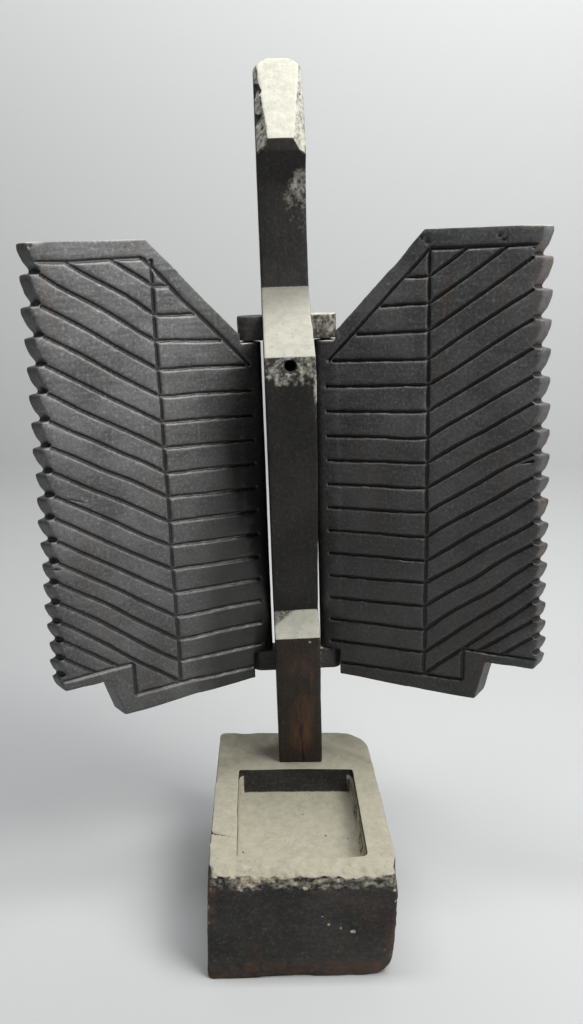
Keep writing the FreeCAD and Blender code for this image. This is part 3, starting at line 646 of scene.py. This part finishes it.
# --------------------------------------------------------------- the bars
def bar(node, seed, dust_and_light_share):
    """A crossbar; the last argument is how much of its pale dust and painted light is left at
    its right end, the rest painted shade.
    """
    w = Worn(node, leaned(), BAR_VOXEL)
    w.wear(10, 0.8)
    w.sink(0.10 * (1 + noise(w.points, (24, 14, 14), seed)))
    w.sink(0.3 * dishes(w.points, (12, 8, 8), seed + 3))
    out = w.bulge(6)[1]
    up = w.facing_up()
    x = w.points[:, 0]
    mottled = noise(w.points, 2.4, seed + 9, 3)
    # Pale dust and painted light on the bar's right part; the left part, on its shadowed side,
    # stays dark as painted shade, and at the right end only the given share is left, the rest
    # painted shade.
    dust_and_light = np.maximum(0.6 * ramp(up, 0.3, 0.8), 0.30 + 0.16 * mottled)
    w.paint("dust_and_light", dust_and_light * ramp(x, -30, 10) * (1 - (1 - dust_and_light_share) * ramp(x, 18, 25)))
    w.paint("edge", out / 0.5)
    w.paint("hollow_and_shade", -out / 0.4)
    w.finish(node + "_worn", "stand", bar_skin, [0, 1, 2])


base()
bird()
for wing_side in (-1, 1):
    wing(wing_side)
bar("upper_crossbar", 500, 1.0)
# The lower bar's right end lies in the wing's shadow: painted shade.
bar("lower_crossbar", 520, 0.2)

# The pegs, pintles and wedges keep their CAD shape.
for node_name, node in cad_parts.items():
    if not node.hide_render:
        node.data.materials.clear()
        node.data.materials.append(peg_skin)

# ------------------------------------------------------------------- stage
# In metres and watts.
FLOOR_HALF = 3.0
WALL_Y = 0.62
WALL_TOP = 3.2
BEND = 0.22
BEND_STEPS = 12
PAPER = (0.47, 0.475, 0.48, 1)
AMBIENT = 0.045
AMBIENT_SEEN = 0.55


def backdrop():
    """A pale floor that turns up into a pale wall."""
    section = [(-FLOOR_HALF, 0.0)]
    for k in range(BEND_STEPS + 1):
        angle = math.radians(90 * k / BEND_STEPS)
        section.append((WALL_Y - BEND + BEND * math.sin(angle), BEND - BEND * math.cos(angle)))
    section.append((WALL_Y, WALL_TOP))
    corners = [(x, y, z) for y, z in section for x in (-FLOOR_HALF, FLOOR_HALF)]
    faces = [(2 * k, 2 * k + 1, 2 * k + 3, 2 * k + 2) for k in range(len(section) - 1)]
    mesh = bpy.data.meshes.new("backdrop")
    mesh.from_pydata(corners, [], faces)
    mesh.shade_smooth()
    s = Shader("pale_paper")
    surface = s.add("ShaderNodeBsdfPrincipled", {"Base Color": PAPER, "Roughness": 0.9})
    # From behind, the wall lets the view through to the object.
    behind = s.add("ShaderNodeNewGeometry").outputs["Backfacing"]
    clear = s.add("ShaderNodeBsdfTransparent").outputs[0]
    surface = s.add("ShaderNodeMixShader", {0: behind, 1: surface.outputs[0], 2: clear})
    s.add("ShaderNodeOutputMaterial", {"Surface": surface.outputs[0]})
    mesh.materials.append(s.material)
    paper = bpy.data.objects.new("backdrop", mesh)
    scene.collection.objects.link(paper)


def lamp(name, place, aim, size, watts, colour=(1, 1, 1)):
    light = bpy.data.lights.new(name, "AREA")
    light.shape, light.size, light.size_y = "RECTANGLE", size[0], size[1]
    light.energy, light.color = watts, colour
    ob = bpy.data.objects.new(name, light)
    ob.location = place
    ob.rotation_mode = "QUATERNION"
    ob.rotation_quaternion = (Vector(aim) - Vector(place)).to_track_quat("-Z", "Y")
    scene.collection.objects.link(ob)


backdrop()
lamp("softbox", (0.60, -0.46, 1.28), (0.0, 0.05, 0.35), (0.6, 0.6), 15.0, (1.0, 1.0, 0.98))
lamp("window", (1.05, -0.85, 0.95), (-0.08, 0.0, 0.45), (0.5, 0.7), 3.6)
lamp("wall_light", (0.0, 0.0, 1.9), (0.0, 0.62, 1.05), (1.8, 0.4), 33)

def surroundings():
    """A dim, even light, which looks pale where a view passes the backdrop's edge."""
    world = bpy.data.worlds.new("studio")
    world.use_nodes = True
    tree = world.node_tree
    seen = tree.nodes.new("ShaderNodeLightPath").outputs["Is Camera Ray"]
    strength = tree.nodes.new("ShaderNodeMapRange")
    strength.inputs["To Min"].default_value = AMBIENT
    strength.inputs["To Max"].default_value = AMBIENT_SEEN
    tree.links.new(seen, strength.inputs["Value"])
    tree.links.new(strength.outputs[0], tree.nodes["Background"].inputs["Strength"])
    tree.nodes["Background"].inputs["Color"].default_value = (1, 1, 1, 1)
    scene.world = world


surroundings()
scene.view_settings.view_transform = "Standard"
scene.view_settings.look = "None"

# ------------------------------------------------------------------ camera
LENS = 30.92
CAMERA_PLACE = (-0.0343, -0.6206, 0.5146)
PITCH_DEG, YAW_DEG, ROLL_DEG = 16.55, -2.41, -0.80


def camera():
    yaw, pitch, roll = (math.radians(a) for a in (YAW_DEG, PITCH_DEG, ROLL_DEG))
    right = Vector((math.cos(yaw), math.sin(yaw), 0))
    level = Vector((-math.sin(yaw), math.cos(yaw), 0))
    forward = level * math.cos(pitch) - Vector((0, 0, 1)) * math.sin(pitch)
    up = right.cross(forward)
    tilted_right = right * math.cos(roll) - up * math.sin(roll)
    tilted_up = right * math.sin(roll) + up * math.cos(roll)
    turn = Matrix((tilted_right, tilted_up, -forward)).transposed().to_4x4()
    data = bpy.data.cameras.new("camera")
    data.lens, data.sensor_width, data.clip_start = LENS, 36.0, 0.02
    ob = bpy.data.objects.new("camera", data)
    ob.matrix_world = Matrix.Translation(CAMERA_PLACE) @ turn
    scene.collection.objects.link(ob)
    scene.camera = ob


camera()
